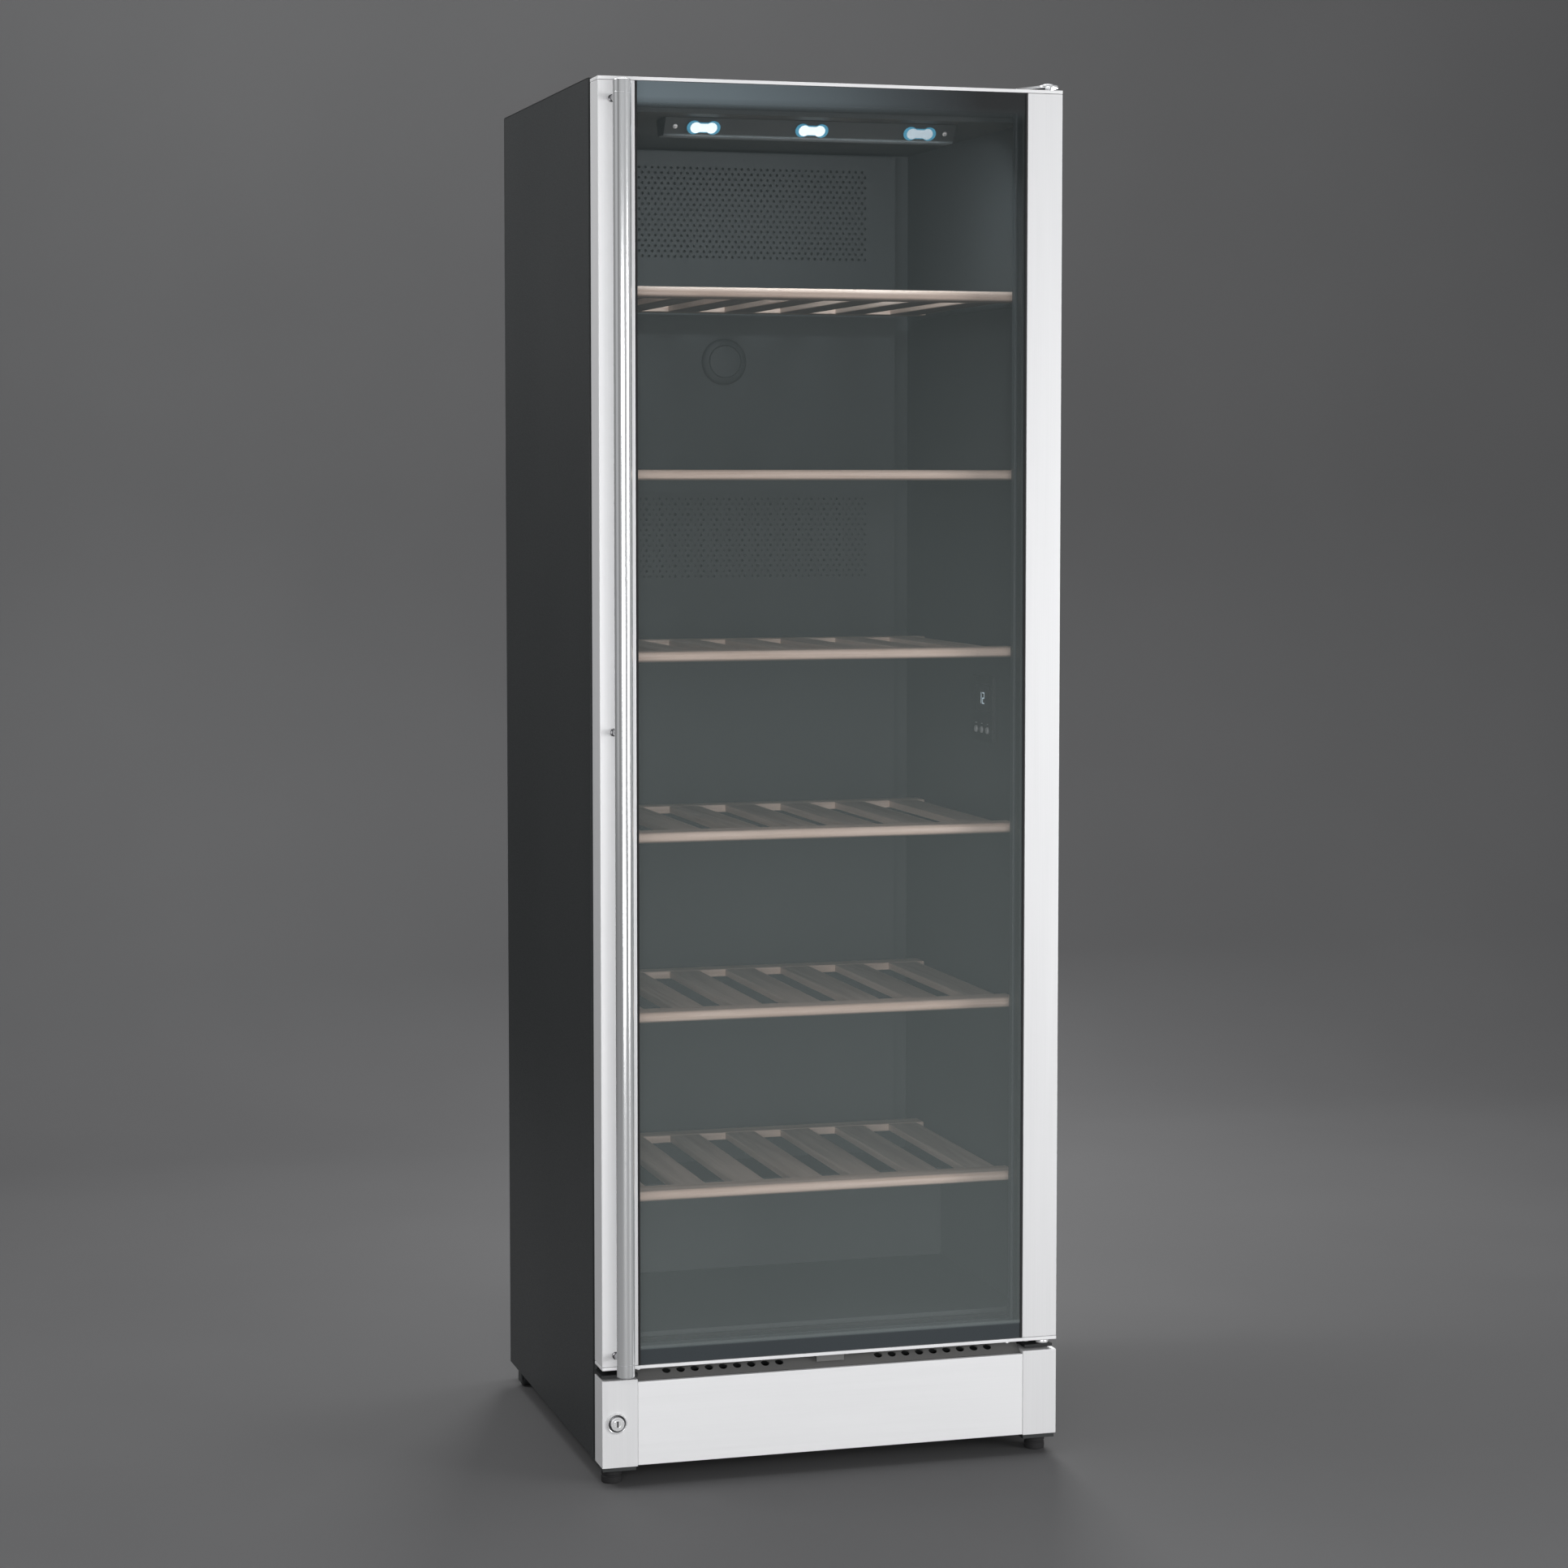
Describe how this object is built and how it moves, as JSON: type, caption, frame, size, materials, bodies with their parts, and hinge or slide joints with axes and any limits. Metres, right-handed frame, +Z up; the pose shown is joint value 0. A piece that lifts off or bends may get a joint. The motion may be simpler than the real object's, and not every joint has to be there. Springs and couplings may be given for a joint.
{
  "type": "wine cooler",
  "caption": "Tall upright wine cooler with a full-height glass door, round bar handle, wooden shelves, ceiling lamps and a key lock in a light metal plinth.",
  "frame": {"origin": "on the floor, under the centre of the whole object's box", "axes": "+Z up, -Y out of the glass door, +X to the right seen from the front"},
  "size_m": [0.595, 0.618, 1.7343],
  "materials": {
    "anodised_profile": "satin natural anodised, fine lengthwise brushing",
    "satin_metal": "satin polished",
    "lock_metal": "satin nickel",
    "dark_sheet": "dark grey coated steel sheet, fine texture",
    "zinc_sheet": "zinc coated sheet",
    "liner": "dark grey moulded plastic",
    "foam": "rigid foam",
    "black_plastic": "fine textured black",
    "black_rubber": "soft matt",
    "compressor_paint": "black stoved paint",
    "copper_tube": "drawn copper",
    "fin_aluminium": "mill finish fins",
    "oak": "light oiled oak",
    "tinted_glass": "grey-green tinted, polished",
    "clear_glass": "clear, polished",
    "lamp_lens": "clear lens, cold white light",
    "display_plastic": "dark gloss window",
    "button_plastic": "satin grey"
  },
  "bodies": {
    "cabinet": {"side_panel_left": "dark_sheet", "side_panel_right": "dark_sheet", "top_panel": "dark_sheet", "rear_panel": "zinc_sheet", "inner_liner": "liner", "foam_insulation": "foam", "base_frame": "dark_sheet", "rear_cover": "zinc_sheet", "power_inlet": "black_plastic", "hinge_bracket_top": "satin_metal", "hinge_bracket_bottom": "dark_sheet", "plinth_block_left": "anodised_profile", "plinth_block_right": "anodised_profile", "plinth_centre": "anodised_profile", "vent_grille": "black_plastic", "lock_escutcheon": "lock_metal", "condenser_fan_frame": "black_plastic", "evaporator_fan_frame": "black_plastic", "compressor": "compressor_paint", "condenser_coil": "copper_tube", "evaporator": "fin_aluminium", "duct_cover": "liner", "filter_cap": "liner", "lamp_housing": "liner", "lamp_lens_left": "lamp_lens", "lamp_lens_middle": "lamp_lens", "lamp_lens_right": "lamp_lens", "control_panel": "black_plastic", "display_window": "display_plastic", "shelf_1": "oak", "shelf_2": "oak", "shelf_3": "oak", "shelf_4": "oak", "shelf_5": "oak", "shelf_6": "oak"},
    "door": {"door_profile_left": "anodised_profile", "door_profile_right": "anodised_profile", "door_rail_top": "anodised_profile", "door_rail_bottom": "anodised_profile", "bolt_keeper": "anodised_profile", "glass_outer": "tinted_glass", "glass_inner": "clear_glass", "glass_spacer": "satin_metal", "door_inner_frame": "black_plastic", "door_gasket": "black_rubber", "handle_bar": "satin_metal", "handle_post_lower": "satin_metal", "handle_post_middle": "satin_metal", "handle_post_upper": "satin_metal"},
    "condenser_fan": {"condenser_fan_rotor": "black_plastic"},
    "evaporator_fan": {"evaporator_fan_rotor": "black_plastic"},
    "button_first": {"button_1": "button_plastic"},
    "button_second": {"button_2": "button_plastic"},
    "button_third": {"button_3": "button_plastic"},
    "key_cylinder": {"lock_cylinder": "lock_metal"},
    "bolt": {"lock_bolt": "zinc_sheet"},
    "foot_left": {"foot_front_left": "black_rubber"},
    "foot_right": {"foot_front_right": "black_rubber"},
    "roller_left": {"roller_rear_left": "black_plastic"},
    "roller_right": {"roller_rear_right": "black_plastic"}
  },
  "joints": [
    {"name": "door_hinge", "type": "hinge", "parent": "cabinet", "child": "door", "pos_m": [0.283, -0.232, 0.936], "axis": [0, 0, 1], "range_deg": [0, 110]},
    {"name": "condenser_fan_spin", "type": "hinge", "parent": "cabinet", "child": "condenser_fan", "pos_m": [0.03, 0.231, 0.09], "axis": [1, 0, 0], "continuous": true},
    {"name": "evaporator_fan_spin", "type": "hinge", "parent": "cabinet", "child": "evaporator_fan", "pos_m": [-0.008, 0.258, 1.402], "axis": [0, 1, 0], "continuous": true},
    {"name": "lock_turn", "type": "hinge", "parent": "cabinet", "child": "key_cylinder", "pos_m": [-0.279, -0.24, 0.0806], "axis": [0, 1, 0], "range_deg": [0, 90]},
    {"name": "bolt_slide", "type": "slide", "parent": "cabinet", "child": "bolt", "axis": [0, 0, 1], "range_m": [0, 0.017]},
    {"name": "foot_left_turn", "type": "hinge", "parent": "cabinet", "child": "foot_left", "pos_m": [-0.279, -0.216, 0.03], "axis": [0, 0, 1], "continuous": true},
    {"name": "foot_right_turn", "type": "hinge", "parent": "cabinet", "child": "foot_right", "pos_m": [0.279, -0.216, 0.03], "axis": [0, 0, 1], "continuous": true},
    {"name": "roller_left_spin", "type": "hinge", "parent": "cabinet", "child": "roller_left", "pos_m": [-0.28, 0.269, 0.014], "axis": [1, 0, 0], "continuous": true},
    {"name": "roller_right_spin", "type": "hinge", "parent": "cabinet", "child": "roller_right", "pos_m": [0.28, 0.269, 0.014], "axis": [1, 0, 0], "continuous": true},
    {"name": "button_first_press", "type": "slide", "parent": "cabinet", "child": "button_first", "axis": [1, 0, 0], "range_m": [0, 0.001], "stiffness_N_per_m": 400, "springref_m": -0.001},
    {"name": "button_second_press", "type": "slide", "parent": "cabinet", "child": "button_second", "axis": [1, 0, 0], "range_m": [0, 0.001], "stiffness_N_per_m": 400, "springref_m": -0.001},
    {"name": "button_third_press", "type": "slide", "parent": "cabinet", "child": "button_third", "axis": [1, 0, 0], "range_m": [0, 0.001], "stiffness_N_per_m": 400, "springref_m": -0.001}
  ],
  "couplings": [
    {"joint": "lock_turn", "follows": "bolt_slide", "rad_per_m": 92.39}
  ]
}
